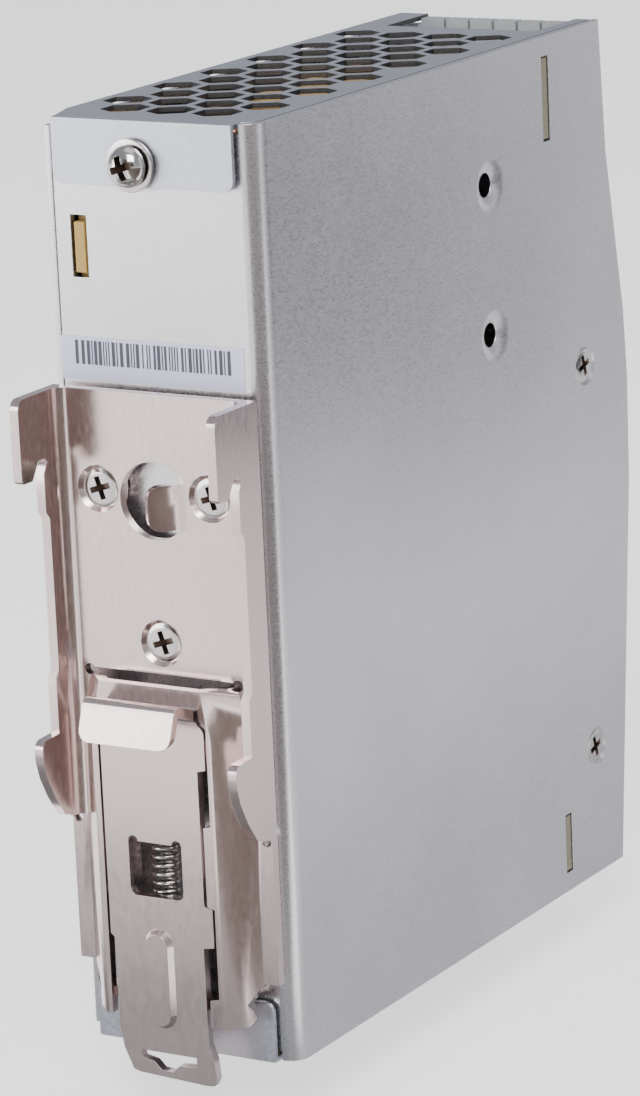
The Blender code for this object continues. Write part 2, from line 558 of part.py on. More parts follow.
def terminal_block(name, prefix, frame, poles, pitch, centre, screw_z, up, scale):
    """A block of rising-cage terminals: a housing, and a screw and a cage for each pole."""
    half = poles * pitch / 2
    closed_z = screw_z - up * 8.0
    open_z = screw_z + up * 10.4
    bm = bmesh.new()
    add_box(bm, (centre - half, centre + half), (BLOCK_FRONT, BLOCK_REAR), sorted((closed_z, open_z)))
    housing = finish(name, bm, "terminal_plastic", frame)
    places = [centre + (k - (poles - 1) / 2) * pitch for k in range(poles)]
    if up > 0:
        bm = bmesh.new()
        add_box(bm, (centre - half, centre + half), (BLOCK_FRONT, -91.7), (open_z - 1, HEIGHT - 0.3))
        boolean(housing, "UNION", name + "_lip", bm, frame)
        bm = bmesh.new()
        for left, right in zip(places, places[1:]):
            middle = (left + right) / 2
            add_box(bm, (middle - 0.2, middle + 0.2), (-95, -91), (open_z + 0.6, HEIGHT + 1))
        boolean(housing, "DIFFERENCE", name + "_lip_gaps", bm, frame)
    cavities, bores, throats = bmesh.new(), bmesh.new(), bmesh.new()
    for x in places:
        add_box(cavities, (x - 1.5 * scale, x + 1.5 * scale), (-91.0, -82.6),
                sorted((screw_z - up * 5.0, open_z + up * 2)))
        add_cylinder(bores, 1.65 * scale, "Y", (x, 0, screw_z), -95, -91.6, 14)
        add_cylinder(throats, 1.0 * scale, "Y", (x, 0, screw_z), -92, -90.5, 10)
    for part, bm in (("cavities", cavities), ("bores", bores), ("throats", throats)):
        boolean(housing, "DIFFERENCE", name + "_" + part, bm, frame)

    for number, x in enumerate(places, 1):
        profile = [(0, -93.4), (1.35 * scale, -93.4), (1.35 * scale, -91.9), (0.7 * scale, -91.9),
                   (0.7 * scale, -86.9), (0, -86.9)]
        bm = bmesh.new()
        add_turned(bm, profile, "Y", (x, 0, screw_z), 12)
        screw = finish(f"{prefix}_screw_{number}", bm, "terminal_metal", frame, (x, -91.9, screw_z))
        bm = bmesh.new()
        slot_z = (screw_z - 0.25 * scale, screw_z + 0.25 * scale)
        add_box(bm, (x - 2 * scale, x + 2 * scale), (-95, -92.7), slot_z)
        boolean(screw, "DIFFERENCE", "driver_slot", bm, frame)
        side, inside = 1.2 * scale, 0.75 * scale
        outer = [(x - side, -88.8), (x + side, -88.8), (x + side, -83.0), (x - side, -83.0)]
        bm = bmesh.new()
        add_prism(bm, outer, "Z", screw_z - 3 * scale, screw_z + 3 * scale)
        cage = finish(f"{prefix}_clamp_{number}", bm, "terminal_metal", frame, (x, -86.0, screw_z))
        bm = bmesh.new()
        add_box(bm, (x - inside, x + inside), (-87.6, -84.1), (screw_z - 5 * scale, screw_z + 5 * scale))
        boolean(cage, "DIFFERENCE", "wire_window", bm, frame)
        bm = bmesh.new()
        add_cylinder(bm, 0.9 * scale, "Y", (x, 0, screw_z), -89.5, -87.0, 10)
        boolean(cage, "DIFFERENCE", "screw_hole", bm, frame)


def boards(frame):
    across = (MAIN_BOARD_X, MAIN_BOARD_X + BOARD)
    main = box_piece("main_board", "board", frame, across, (-77.0, -1.3), (4.0, 121.0))
    bm = bmesh.new()
    add_box(bm, across, (-2.0, -0.1), (104.7, 111.4))
    boolean(main, "UNION", "rear_tab", bm, frame)
    depth = (TERMINAL_BOARD_Y, TERMINAL_BOARD_Y + BOARD)
    board = box_piece("terminal_board", "board", frame, (-14.6, 9.9), depth, (2.9, 122.2))
    for low, high in ((3.1, 11.3), (110.7, 122.1)):
        bm = bmesh.new()
        add_box(bm, (-15.85, -14.0), depth, (low, high))
        boolean(board, "UNION", "side_tab", bm, frame)
    box_piece("insulating_sheet", "insulator", frame, (13.2, 13.6), (-77.0, -2.0), (3.0, 122.0))


def power_parts(frame):
    """What the case holds: each stands on the main board, which lies along one side wall."""
    top = MAIN_BOARD_X - GAP
    core = box_piece("transformer_core", "ferrite", frame, (-13.5, 9.5), (-54.0, -28.0), (102.0, 115.0))
    bm = bmesh.new()
    add_box(bm, (-9.8, 5.8), (-50.0, -32.0), (100.0, 117.0))
    boolean(core, "DIFFERENCE", "core_window", bm, frame)
    box_piece("transformer_winding", "tape", frame, (-9.5, 5.5), (-49.7, -32.3), (94.0, 123.2))
    box_piece("line_filter_capacitor", "film_case", frame, (-6.0, top), (-56.0, -34.0), (34.0, 46.0))
    box_piece("primary_heat_sink", "aluminium", frame, (-13.0, top), (-5.2, -3.2), (30.0, 96.0))
    box_piece("switching_transistor", "chip_case", frame, (-6.0, 4.0), (-10.0, -5.5), (74.0, 89.0))
    box_piece("bridge_rectifier", "chip_case", frame, (-12.0, 3.0), (-9.2, -5.5), (34.0, 48.0))
    box_piece("output_heat_sink", "aluminium", frame, (-13.0, top), (-74.2, -72.2), (84.0, 118.0))
    box_piece("output_rectifier", "chip_case", frame, (-7.0, 3.0), (-71.9, -67.4), (86.0, 96.0))
    box_piece("alarm_relay", "chip_case", frame, (-5.0, top), (-69.0, -58.0), (66.0, 78.0))
    for name, slot, radius, low, y, z in (
            ("bulk_capacitor", "can_sleeve", 9.0, -14.2, -22.0, 62.0),
            ("output_capacitor_1", "can_sleeve", 5.0, -9.6, -62.0, 114.0),
            ("output_capacitor_2", "can_sleeve", 5.0, -9.6, -62.0, 101.5)):
        bm = bmesh.new()
        profile = [(0, low), (radius - 0.8, low), (radius, low + 0.8), (radius, top), (0, top)]
        add_turned(bm, profile, "X", (0, y, z), 24)
        finish(name, bm, slot, frame)
    for name, outer, hole, low, high, axis, centre in (
            ("line_choke", 10.0, 4.5, -5.0, top, "X", (0, -44.0, 62.0)),
            ("output_choke", 9.0, 4.0, 112.5, 122.0, "Z", (-2.0, -17.6, 0))):
        bm = bmesh.new()
        add_turned(bm, [(hole, low), (outer, low), (outer, high), (hole, high)], axis, centre, 20)
        finish(name, bm, "copper", frame)
    bm = bmesh.new()
    add_cylinder(bm, 2.6, "Z", (6.5, -68.0, 0), 30.0, 50.0, 12)
    finish("fuse", bm, "glass", frame)
    bm = bmesh.new()
    add_cylinder(bm, 5.0, "Y", (4.5, 0, 24.0), -66.0, -62.0, 16)
    finish("surge_varistor", bm, "blue_plastic", frame)


def front_parts(frame):
    """The lamp with its light pipe, and the output voltage trimmer."""
    bm = bmesh.new()
    add_cylinder(bm, 1.5, "Y", (-7.0, 0, 92.0), -82.6, TERMINAL_BOARD_Y - GAP, 14)
    finish("status_lamp", bm, "green_lens", frame)
    bm = bmesh.new()
    pipe = [(0, -98.0), (1.0, -98.0), (1.45, -97.5), (1.45, -82.9), (0, -82.9)]
    add_turned(bm, pipe, "Y", (-7.0, 0, 92.0), 14)
    finish("light_pipe", bm, "green_lens", frame)
    box_piece("trimmer_body", "blue_plastic", frame, (1.0, 8.0), (-90.0, BLOCK_REAR), (86.5, 93.5))
    bm = bmesh.new()
    add_cylinder(bm, 1.9, "Y", (4.5, 0, 90.0), -97.4, -90.3, 16)
    rotor = finish("trimmer_rotor", bm, "panel_plastic", frame, (4.5, -90.3, 90.0))
    bm = bmesh.new()
    add_box(bm, (2.0, 7.0), (-98.0, -96.6), (89.7, 90.3))
    boolean(rotor, "DIFFERENCE", "trimmer_slot", bm, frame)


def build():
    clear_scene()
    frame = bpy.data.objects.new("case_frame", None)
    bpy.context.scene.collection.objects.link(frame)
    frame.location = Vector((0.0, -RAIL_SEAT_Y, RAIL_HEIGHT / 2 - RAIL_TOP)) * MM
    chassis(frame)
    side_cover(frame)
    covers(frame)
    clip_bracket(frame)
    release_lever(frame)
    lever_spring(frame)
    fasteners(frame)
    front_panel(frame)
    boards(frame)
    power_parts(frame)
    front_parts(frame)
    terminal_block("output_terminal_block", "output", frame, **OUTPUT_TERMINALS)
    terminal_block("input_terminal_block", "input", frame, **INPUT_TERMINALS)


build()
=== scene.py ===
"""Looks of the DIN rail power supply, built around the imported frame.

Sizes on the object are in millimetres and become metres through MM; the studio's are in metres.
X is across the case, +Y is the rail side and +Z is up, as in the frame. Most pieces are copies of
their frame nodes with broken edges. Screws, the washer, the spring, the label, the wound parts and
the capacitors' cans are made here.
"""

import json
import math
import random

import bmesh
import bpy
from mathutils import Matrix, Vector


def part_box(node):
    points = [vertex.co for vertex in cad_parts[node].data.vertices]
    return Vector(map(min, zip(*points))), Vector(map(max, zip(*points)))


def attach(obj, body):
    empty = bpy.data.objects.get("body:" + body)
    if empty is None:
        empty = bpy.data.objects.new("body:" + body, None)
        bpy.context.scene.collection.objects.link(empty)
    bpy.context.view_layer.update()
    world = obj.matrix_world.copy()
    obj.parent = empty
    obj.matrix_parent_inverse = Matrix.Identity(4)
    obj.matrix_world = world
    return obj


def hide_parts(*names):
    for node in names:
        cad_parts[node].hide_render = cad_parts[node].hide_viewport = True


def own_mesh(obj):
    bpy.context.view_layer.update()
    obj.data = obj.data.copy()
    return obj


MM = 0.001

# The camera: metres, degrees, and millimetres of lens
CAMERA_PLACE = Vector((-0.3231, 0.4957, 0.1555))
CAMERA_AZIMUTH = 210.86
CAMERA_ELEVATION = 14.27
CAMERA_ROLL = -2.58
CAMERA_LENS = 155.3
CAMERA_SHIFT = (-0.0009, 0.0046)
FLOOR_HALF = 6.0
FLOOR_GAP = 0.2            # millimetres under the lever's tip at its lowest
FLOOR_GLOW = 1.1
SKY_STRENGTH = 0.85
# Height of a direction, from the horizon to straight up, and the sky's colour there
SKY = (
    (0.0, (0.66, 0.66, 0.68)),
    (0.22, (0.5, 0.52, 0.58)),
    (0.5, (0.42, 0.44, 0.5)),
    (1.0, (0.5, 0.51, 0.55)),
)
# Name, place in metres, size in metres and power in watts
LAMPS = (
    ("key", (-0.35, 0.75, 0.75), 0.6, 11.0),
    ("fill", (0.8, 0.7, 0.15), 0.7, 8.0),
    ("side", (-1.1, -0.3, 0.5), 0.8, 1.5),
    ("top", (0.0, 0.0, 1.2), 0.8, 1.5),
)
CARD_STEP = 0.00005        # metres between the layers of cards on the floor


def rectangle(low_x, high_x, low_y, high_y):
    """The four corners of a rectangle, in turn."""
    return (low_x, low_y), (high_x, low_y), (high_x, high_y), (low_x, high_y)


# Sheets that show only in glossy reflections: name, colour, layer over the floor, corners (x, y)
FLOOR_CARDS = (
    ("side_card", (0.95, 0.95, 1.0), 1, rectangle(-1.6, 0.0, -2.4, -0.02)),
    ("side_shade", (0.03, 0.03, 0.035), 2,
     ((-0.18, -0.4), (-0.8, -1.43), (-1.6, -1.0), (-0.55, -0.03))),
    ("side_near", (0.62, 0.62, 0.66), 2, rectangle(-0.085, 0.0, -0.28, -0.01)),
    ("clip_card", (0.1, 0.065, 0.05), 1, rectangle(-1.6, -0.04, 0.03, 1.6)),
    ("plate_card", (1.3, 1.28, 1.3), 1, rectangle(0.0, 1.2, 0.03, 1.9)),
    ("near_card", (0.4, 0.41, 0.43), 2, rectangle(-0.05, 0.14, -0.01, 0.107)),
    ("foot_card", (0.17, 0.18, 0.19), 3, rectangle(-0.04, 0.07, -0.01, 0.053)),
)
# One upright sheet beyond the camera: colour, y, (low x, high x) and heights over the floor
REAR_WALL = ((0.09, 0.06, 0.045), 1.7, (-1.3, 0.5), (0.12, 1.1))

# Looks: first those named after the frame's slots, then ones that some pieces use instead
LOOKS = {
    "coated_steel": dict(colour=(0.77, 0.76, 0.785), roughness=0.29, metallic=1.0, grain=3600.0,
                         stretch=(1.0, 0.3, 1.0), spread=0.04, blotch=0.1, bump_depth=0.0006,
                         rough_spread=0.05),
    "galvanised": dict(colour=(0.62, 0.64, 0.7), roughness=0.4, metallic=1.0, grain=1900.0,
                       spread=0.12, blotch=0.1, rough_spread=0.1),
    "nickel": dict(colour=(0.8, 0.67, 0.645), roughness=0.2, metallic=1.0, grain=1500.0,
                   stretch=(1, 1, 0.4), spread=0.03, blotch=0.08, bump_depth=0.0015,
                   rough_spread=0.05),
    "screw_steel": dict(colour=(0.66, 0.63, 0.61), roughness=0.15, metallic=1.0, grain=2500.0,
                        spread=0.03, bump_depth=0.001),
    "spring_steel": dict(colour=(0.5, 0.48, 0.47), roughness=0.2, metallic=1.0, grain=4000.0,
                         spread=0.05, bump_depth=0.001),
    "panel_plastic": dict(colour=(0.56, 0.57, 0.6), roughness=0.5, grain=2400.0, spread=0.03,
                          blotch=0.03, bump_depth=0.01),
    "terminal_plastic": dict(colour=(0.42, 0.44, 0.45), roughness=0.42, grain=2400.0, spread=0.03,
                             blotch=0.04, bump_depth=0.006),
    "terminal_metal": dict(colour=(0.78, 0.76, 0.71), roughness=0.24, metallic=1.0, grain=3000.0,
                           spread=0.04, blotch=0.06, bump_depth=0.001),
    "board": dict(colour=(0.38, 0.24, 0.06), roughness=0.45, grain=3000.0, spread=0.12, blotch=0.1),
    "ferrite": dict(colour=(0.045, 0.045, 0.05), roughness=0.55, grain=2500.0, spread=0.2,
                    blotch=0.1, bump_depth=0.01),
    "tape": dict(colour=(0.66, 0.42, 0.14), roughness=0.35, grain=1200.0, stretch=(0.3, 0.3, 3.0),
                 spread=0.08, blotch=0.08),
    "copper": dict(colour=(0.6, 0.28, 0.16), roughness=0.28, metallic=0.9, grain=2500.0,
                   spread=0.08, blotch=0.08, bump_depth=0.002),
    "can_sleeve": dict(colour=(0.035, 0.03, 0.05), roughness=0.3, grain=1500.0, spread=0.1,
                       blotch=0.1, bump_depth=0.002),
    "film_case": dict(colour=(0.62, 0.5, 0.1), roughness=0.4, grain=2000.0, spread=0.05),
    "aluminium": dict(colour=(0.7, 0.7, 0.71), roughness=0.32, metallic=1.0, grain=2500.0,
                      stretch=(1, 1, 0.2), spread=0.05, bump_depth=0.002),
    "chip_case": dict(colour=(0.02, 0.02, 0.022), roughness=0.45, grain=3500.0, spread=0.2,
                      blotch=0.1, bump_depth=0.006),
    "green_lens": dict(colour=(0.12, 0.6, 0.2), roughness=0.12, grain=1200.0, spread=0.03,
                       bump_depth=0.0005),
    "blue_plastic": dict(colour=(0.03, 0.12, 0.45), roughness=0.28, grain=2000.0, spread=0.05,
                         bump_depth=0.003),
    "label_paper": dict(colour=(0.56, 0.57, 0.72), roughness=0.55, grain=1500.0, spread=0.02,
                        blotch=0.03, bump_depth=0.002),
    # painted shade: near-black metal for the vent holes' walls in the covers
    "painted_shade_hole_wall": dict(colour=(0.15, 0.145, 0.145), roughness=0.5, metallic=1.0, grain=3000.0,
                     spread=0.1, blotch=0.1, bump_depth=0.003),
    # painted shade: dark brown metal for the screws' cross recesses
    "recess": dict(colour=(0.24, 0.19, 0.16), roughness=0.4, metallic=1.0, grain=3000.0, spread=0.1,
                   blotch=0.1, bump_depth=0.002),
    # painted shade: a near-black insulating sheet for the dark inside of the case
    "painted_shade_sheet": dict(colour=(0.03, 0.03, 0.032), roughness=0.5, spread=0.1, blotch=0.1,
                       bump_depth=0.002),
    "board_edge": dict(colour=(0.2, 0.175, 0.12), roughness=0.6, grain=3000.0, spread=0.2,
                       blotch=0.15, bump_depth=0.01),
    "label_ink": dict(colour=(0.06, 0.06, 0.08), roughness=0.6, grain=4000.0, spread=0.2,
                      blotch=0.1, bump_depth=0.001),
}

# How far the pieces' edges are broken, in millimetres
INNER_EDGES = {
    "transformer_winding": 1.6, "transformer_core": 0.4, "line_filter_capacitor": 0.6,
    "primary_heat_sink": 0.2, "switching_transistor": 0.3, "bridge_rectifier": 0.4,
    "output_heat_sink": 0.2, "output_rectifier": 0.3, "alarm_relay": 0.4,
    "surge_varistor": 0.9, "fuse": 0.3, "status_lamp": 0.4, "trimmer_body": 0.3,
    "trimmer_rotor": 0.15, "light_pipe": 0.15,
}
SHEET_EDGE = 0.14
COVER_EDGE = 0.08
BOARD_EDGE = 0.1
FOIL_EDGE = 0.05
LABEL_EDGE = 0.03
CASE_EDGES = {
    "clip_bracket": SHEET_EDGE, "release_lever": SHEET_EDGE, "front_panel": 0.25,
    "output_terminal_block": 0.12, "input_terminal_block": 0.15,
}
TERMINAL_EDGE = 0.08
VENTS_START = -11.0        # y, on the rail side, where the covers' holes begin

# The frame's meshes are welded, and their flat faces made whole, before an edge is broken
WELD = 0.001               # millimetres
FLAT_ANGLE = 1.5           # degrees

SHADE_END = (-8.7, -8.5)    # y, in millimetres, from the end of the board's painted shade to its plain tan tab
BLOTCH_SCALE = 45.0

# The screws, in millimetres and degrees
FLAT_RECESS = {"recess_floor": -1.8, "arm": 1.9}
DOME_RECESS = {"recess_floor": -2.6, "arm": 2.0, "width": 0.48}
RECESS_TOP = 0.6           # over the head, so that the cut goes right through its face
RECESS_POINT = 0.35        # the arms' length at the recess's floor, as a share of the arm
RECESS_TURN = 18
DOME_RADIUS = 2.8
DOME_RISE = 2.0

SPRING_WIRE = 0.31         # the wire's radius, in millimetres
SPRING_TURNS = 17

# The wound rings, with their wires' radii in millimetres
CHOKE_WIRE = {"line_choke": 0.45, "output_choke": 0.55}
CHOKE_HOLE = 0.45          # the hole's radius as a share of the ring's
TURN_PITCH = 2.3           # between turns at the hole, in wire radii
WINDING_GAP = 1.2          # from the wire's middle line to the core, in wire radii

# The capacitors' cans and their metal ends, in millimetres
CAN_GROOVE = 0.35
CAP_INSET = 0.9
CAP_DEPTH = 0.3
CAP_PROUD = 0.03

# The label on the rear wall, in millimetres
LABEL_LEFT = 3.3           # from the case's side to its left edge
LABEL_PAST = 0.2           # past the shell's rear wall on the other side
LABEL_OVER_CLIP = (0.5, 6.3)   # from the clip's top to its lower and upper edges
LABEL_THICK = 0.08
BARS_INSET = (2.0, 2.6)    # from the label's left and right edges
BARS_MARGIN = (2.1, 0.5)   # from its lower and upper edges
BAR_FACES = (0.07, 0.10)   # from the wall
BAR_WIDTHS = (0.2, 0.2, 0.36, 0.5)
BAR_SPACES = (0.2, 0.2, 0.34, 0.46)
BAR_SEED = 41

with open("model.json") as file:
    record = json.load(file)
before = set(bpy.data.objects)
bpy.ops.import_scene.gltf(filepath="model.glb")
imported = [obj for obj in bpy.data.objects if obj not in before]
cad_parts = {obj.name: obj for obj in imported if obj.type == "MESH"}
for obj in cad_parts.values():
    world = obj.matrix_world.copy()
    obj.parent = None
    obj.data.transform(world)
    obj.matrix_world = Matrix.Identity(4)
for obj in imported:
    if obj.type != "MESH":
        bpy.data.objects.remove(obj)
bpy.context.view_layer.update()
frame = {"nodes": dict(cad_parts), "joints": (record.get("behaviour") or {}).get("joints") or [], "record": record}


# ---------------------------------------------------------------- materials

def new_material(name):
    """A material, its shader and its node tree."""
    made = bpy.data.materials.new(name)
    made.use_nodes = True
    tree = made.node_tree
    return made, tree.nodes["Principled BSDF"], tree


def add_node(tree, kind, **inputs):
    node = tree.nodes.new(kind)
    for key, value in inputs.items():
        node.inputs[key.replace("_", " ")].default_value = value
    return node


def position(tree, stretch=(1.0, 1.0, 1.0)):
    """Object coordinates in metres, stretched along the axes."""
    place = tree.nodes.new("ShaderNodeTexCoord")
    mapping = add_node(tree, "ShaderNodeMapping")
    mapping.inputs["Scale"].default_value = stretch
    tree.links.new(place.outputs["Object"], mapping.inputs["Vector"])
    return mapping.outputs["Vector"]


def noise(tree, vector, scale, detail=3.0, roughness=0.55):
    node = add_node(tree, "ShaderNodeTexNoise", Scale=scale, Detail=detail, Roughness=roughness)
    tree.links.new(vector, node.inputs["Vector"])
    return node.outputs["Fac"]


def ramp(tree, factor, stops):
    """A colour ramp from (place, colour) stops; a number stands for a grey."""
    node = tree.nodes.new("ShaderNodeValToRGB")
    tree.links.new(factor, node.inputs["Fac"])
    elements = node.color_ramp.elements
    while len(elements) < len(stops):
        elements.new(0.5)
    for element, (place, colour) in zip(elements, stops):
        element.position = place
        element.color = (colour, colour, colour, 1.0) if isinstance(colour, float) else (*colour, 1.0)
    return node.outputs["Color"]


def bump(tree, shader, height, strength, distance):
    node = add_node(tree, "ShaderNodeBump", Strength=strength, Distance=distance * MM)
    tree.links.new(height, node.inputs["Height"])
    tree.links.new(node.outputs["Normal"], shader.inputs["Normal"])


def shade(colour, factor):
    return tuple(min(1.0, channel * factor) for channel in colour)


def surface(name, colour, roughness, metallic=0.0, grain=900.0, stretch=(1.0, 1.0, 1.0), spread=0.06,
            blotch=0.05, bump_depth=0.004, rough_spread=0.06):
    """A surface with fine grain, slow blotches, and roughness and relief that follow the grain."""
    made, shader, tree = new_material(name)
    shader.inputs["Metallic"].default_value = metallic
    fine = noise(tree, position(tree, stretch), grain)
    slow = noise(tree, position(tree), BLOTCH_SCALE, 4.0)
    grain_colour = ramp(tree, fine, [(0.3, shade(colour, 1 - spread)), (0.7, shade(colour, 1 + spread))])
    slow_colour = ramp(tree, slow, [(0.3, 1.0 - blotch), (0.7, 1.0)])
    mix = tree.nodes.new("ShaderNodeMix")
    mix.data_type = "RGBA"
    mix.blend_type = "MULTIPLY"
    mix.inputs["Factor"].default_value = 1.0
    tree.links.new(grain_colour, mix.inputs[6])
    tree.links.new(slow_colour, mix.inputs[7])
    tree.links.new(mix.outputs[2], shader.inputs["Base Color"])
    smooth, dull = max(0.02, roughness - rough_spread), min(1.0, roughness + rough_spread)
    rough = ramp(tree, fine, [(0.25, smooth), (0.75, dull)])
    tree.links.new(rough, shader.inputs["Roughness"])
    bump(tree, shader, fine, 0.5, bump_depth)
    return made


def glass_material():
    made, shader, tree = new_material("glass")
    slow = noise(tree, position(tree), 300.0)
    colour = ramp(tree, slow, [(0.3, (0.86, 0.90, 0.90)), (0.7, (0.94, 0.97, 0.97))])
    tree.links.new(colour, shader.inputs["Base Color"])
    shader.inputs["Roughness"].default_value = 0.03
    shader.inputs["Transmission Weight"].default_value = 0.9
    shader.inputs["IOR"].default_value = 1.5
    return made


def painted_shade_board():
    """Tan board faces darkened to brown by painted shade, with the plain tan laminate on the tab at the rear."""
    made = surface("painted_shade_board", **LOOKS["board"])
    tree = made.node_tree
    shader = tree.nodes["Principled BSDF"]
    tan = shader.inputs["Base Color"].links[0].from_socket
    split = tree.nodes.new("ShaderNodeSeparateXYZ")
    tree.links.new(position(tree), split.inputs["Vector"])
    shade_end, tab_start = (y * MM for y in SHADE_END)
    place = add_node(tree, "ShaderNodeMapRange", From_Min=shade_end, From_Max=tab_start)
    tree.links.new(split.outputs["Y"], place.inputs["Value"])
    # painted shade: a dark brown copy of the tan board for the case's inside
    board_shade = ramp(tree, noise(tree, position(tree), 900.0),
                [(0.3, (0.13, 0.075, 0.035)), (0.7, (0.19, 0.115, 0.055))])
    mix = tree.nodes.new("ShaderNodeMix")
    mix.data_type = "RGBA"
    tree.links.new(place.outputs["Result"], mix.inputs["Factor"])
    tree.links.new(board_shade, mix.inputs[6])
    tree.links.new(tan, mix.inputs[7])
    tree.links.new(mix.outputs[2], shader.inputs["Base Color"])
    return made


def make_materials():
    made = {name: surface(name, **look) for name, look in LOOKS.items()}
    made["glass"] = glass_material()
    made["painted_shade_board"] = painted_shade_board()
    return made


MATERIALS = make_materials()
SLOT_OF = {row["node"]: row["material_slot"] for row in frame["record"]["subparts"]}
BODY_OF = {node: body for body, nodes in frame["record"]["behaviour"]["bodies"].items()
           for node in nodes}


# ------------------------------------------------------------ piece makers

def finish_piece(name, bm, slot, body, replaced=(), look=None, sharp=35.0, weighted=True):
    """A piece from a bmesh in the frame's own metres."""
    bmesh.ops.recalc_face_normals(bm, faces=bm.faces)
    mesh = bpy.data.meshes.new(name)
    bm.to_mesh(mesh)
    bm.free()
    mesh.shade_smooth()
    mesh.set_sharp_from_angle(angle=math.radians(sharp))
    piece = bpy.data.objects.new(name, mesh)
    bpy.context.scene.collection.objects.link(piece)
    mesh.materials.append(MATERIALS[look or slot])
    if weighted:
        step = piece.modifiers.new("weighted_normals", "WEIGHTED_NORMAL")
        step.keep_sharp = True
    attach(piece, body)
    if replaced:
        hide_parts(*replaced)
    return piece


def node_bmesh(node):
    """A welded copy of a frame node's mesh with its flat faces whole."""
    bm = bmesh.new()
    bm.from_mesh(frame["nodes"][node].data)
    bmesh.ops.remove_doubles(bm, verts=bm.verts, dist=WELD * MM)
    bmesh.ops.dissolve_limit(bm, angle_limit=math.radians(FLAT_ANGLE), verts=bm.verts, edges=bm.edges)
    return bm


def break_edges(bm, width, least=50.0, segments=2):
    """Rounds the edges that turn by more than an angle."""
    edges = [edge for edge in bm.edges if len(edge.link_faces) == 2
             and edge.calc_face_angle() > math.radians(least)]
    bmesh.ops.bevel(bm, geom=edges, offset=width * MM, offset_type="OFFSET", segments=segments,
                    profile=0.5, affect="EDGES", clamp_overlap=True)


def refined(node, width=0.12, least=50.0, segments=2, look=None):
    bm = node_bmesh(node)
    break_edges(bm, width, least, segments)
    return finish_piece("fine_" + node, bm, SLOT_OF[node], BODY_OF[node], [node], look)


def turned(bm, profile, axis, centre, steps=40):
    """A profile of (radius, distance along the axis) in millimetres, turned about an axis."""
    local = bmesh.new()
    closed = min(radius for radius, _ in profile) > 0.0
    verts = [local.verts.new((radius * MM, 0.0, height * MM)) for radius, height in profile]
    edges = [local.edges.new(pair) for pair in zip(verts, verts[1:])]
    if closed:
        edges.append(local.edges.new((verts[-1], verts[0])))
    bmesh.ops.spin(local, geom=verts + edges, cent=(0, 0, 0), axis=(0, 0, 1), angle=math.tau,
                   steps=steps)
    bmesh.ops.remove_doubles(local, verts=local.verts, dist=1e-6)
    way = Vector((0.0, 0.0, 1.0)).rotation_difference(Vector(axis))
    local.transform(Matrix.Translation(centre) @ way.to_matrix().to_4x4())
    mesh = bpy.data.meshes.new("turned")
    local.to_mesh(mesh)
    local.free()
    bm.from_mesh(mesh)
    bpy.data.meshes.remove(mesh)


def box(bm, low, high):
    """A box between two corners in metres."""
    made = bmesh.ops.create_cube(bm, size=1.0)
    middle = (Vector(low) + Vector(high)) / 2
    size = Vector(high) - Vector(low)
    for vert in made["verts"]:
        vert.co = Vector([vert.co[i] * size[i] + middle[i] for i in range(3)])


# ------------------------------------------------------------------- screws

def cut_recess(piece, axis, centre, depth_from, depth_to, arm, width):
    """A cross recess with tapering arms, cut into the piece's mesh; its faces take a dark brown painted shade."""
    bm = bmesh.new()
    rings = []
    for height, share in ((depth_from, RECESS_POINT), (depth_to, 1.0)):
        outline = []
        half, thin = arm * share, width * (0.8 + 0.2 * share)
        for k in range(4):
            turn = Matrix.Rotation(k * math.pi / 2, 3, "Z")
            for a, b in ((half, -thin), (half, thin), (thin, thin)):
                outline.append(turn @ Vector((a, b, 0.0)) * MM + Vector((0.0, 0.0, height * MM)))
        rings.append([bm.verts.new(point) for point in outline])
    for ring in rings:
        bm.faces.new(ring)
    count = len(rings[0])
    for i in range(count):
        bm.faces.new((rings[0][i - 1], rings[0][i], rings[1][i], rings[1][i - 1]))
    bmesh.ops.recalc_face_normals(bm, faces=bm.faces)
    way = Vector((0.0, 0.0, 1.0)).rotation_difference(Vector(axis))
    spin = Matrix.Rotation(math.radians(RECESS_TURN), 4, "Z")
    bm.transform(Matrix.Translation(centre) @ way.to_matrix().to_4x4() @ spin)
    mesh = bpy.data.meshes.new("recess")
    bm.to_mesh(mesh)
    bm.free()
    # the recess's faces get the painted shade
    mesh.materials.append(MATERIALS["recess"])
    cutter = bpy.data.objects.new("recess", mesh)
    bpy.context.scene.collection.objects.link(cutter)
    step = piece.modifiers.new("recess", "BOOLEAN")
    step.operation = "DIFFERENCE"
    step.solver = "EXACT"
    step.material_mode = "TRANSFER"
    step.object = cutter
    graph = bpy.context.evaluated_depsgraph_get()
    result = bpy.data.meshes.new_from_object(piece.evaluated_get(graph))
    old = piece.data
    piece.modifiers.remove(step)
    piece.data = result
    bpy.data.meshes.remove(old)
    bpy.data.objects.remove(cutter)


def screw(node, axis, head, shank, recess_floor, arm, width=0.42):
    """A screw in place of its node; head and shank are profiles from the head's top, in millimetres."""
    low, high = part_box(node)
    centre = (low + high) / 2
    along = Vector(axis)
    top = high if sum(along) > 0 else low
    centre += along * (top - centre).dot(along)
    bm = bmesh.new()
    turned(bm, head + shank, along, centre)
    piece = finish_piece("fine_" + node, bm, SLOT_OF[node], BODY_OF[node], [node],
                         weighted=False, sharp=30.0)
    cut_recess(piece, along, centre, recess_floor, RECESS_TOP, arm, width)
    piece.data.shade_smooth()
    piece.data.set_sharp_from_angle(angle=math.radians(30))


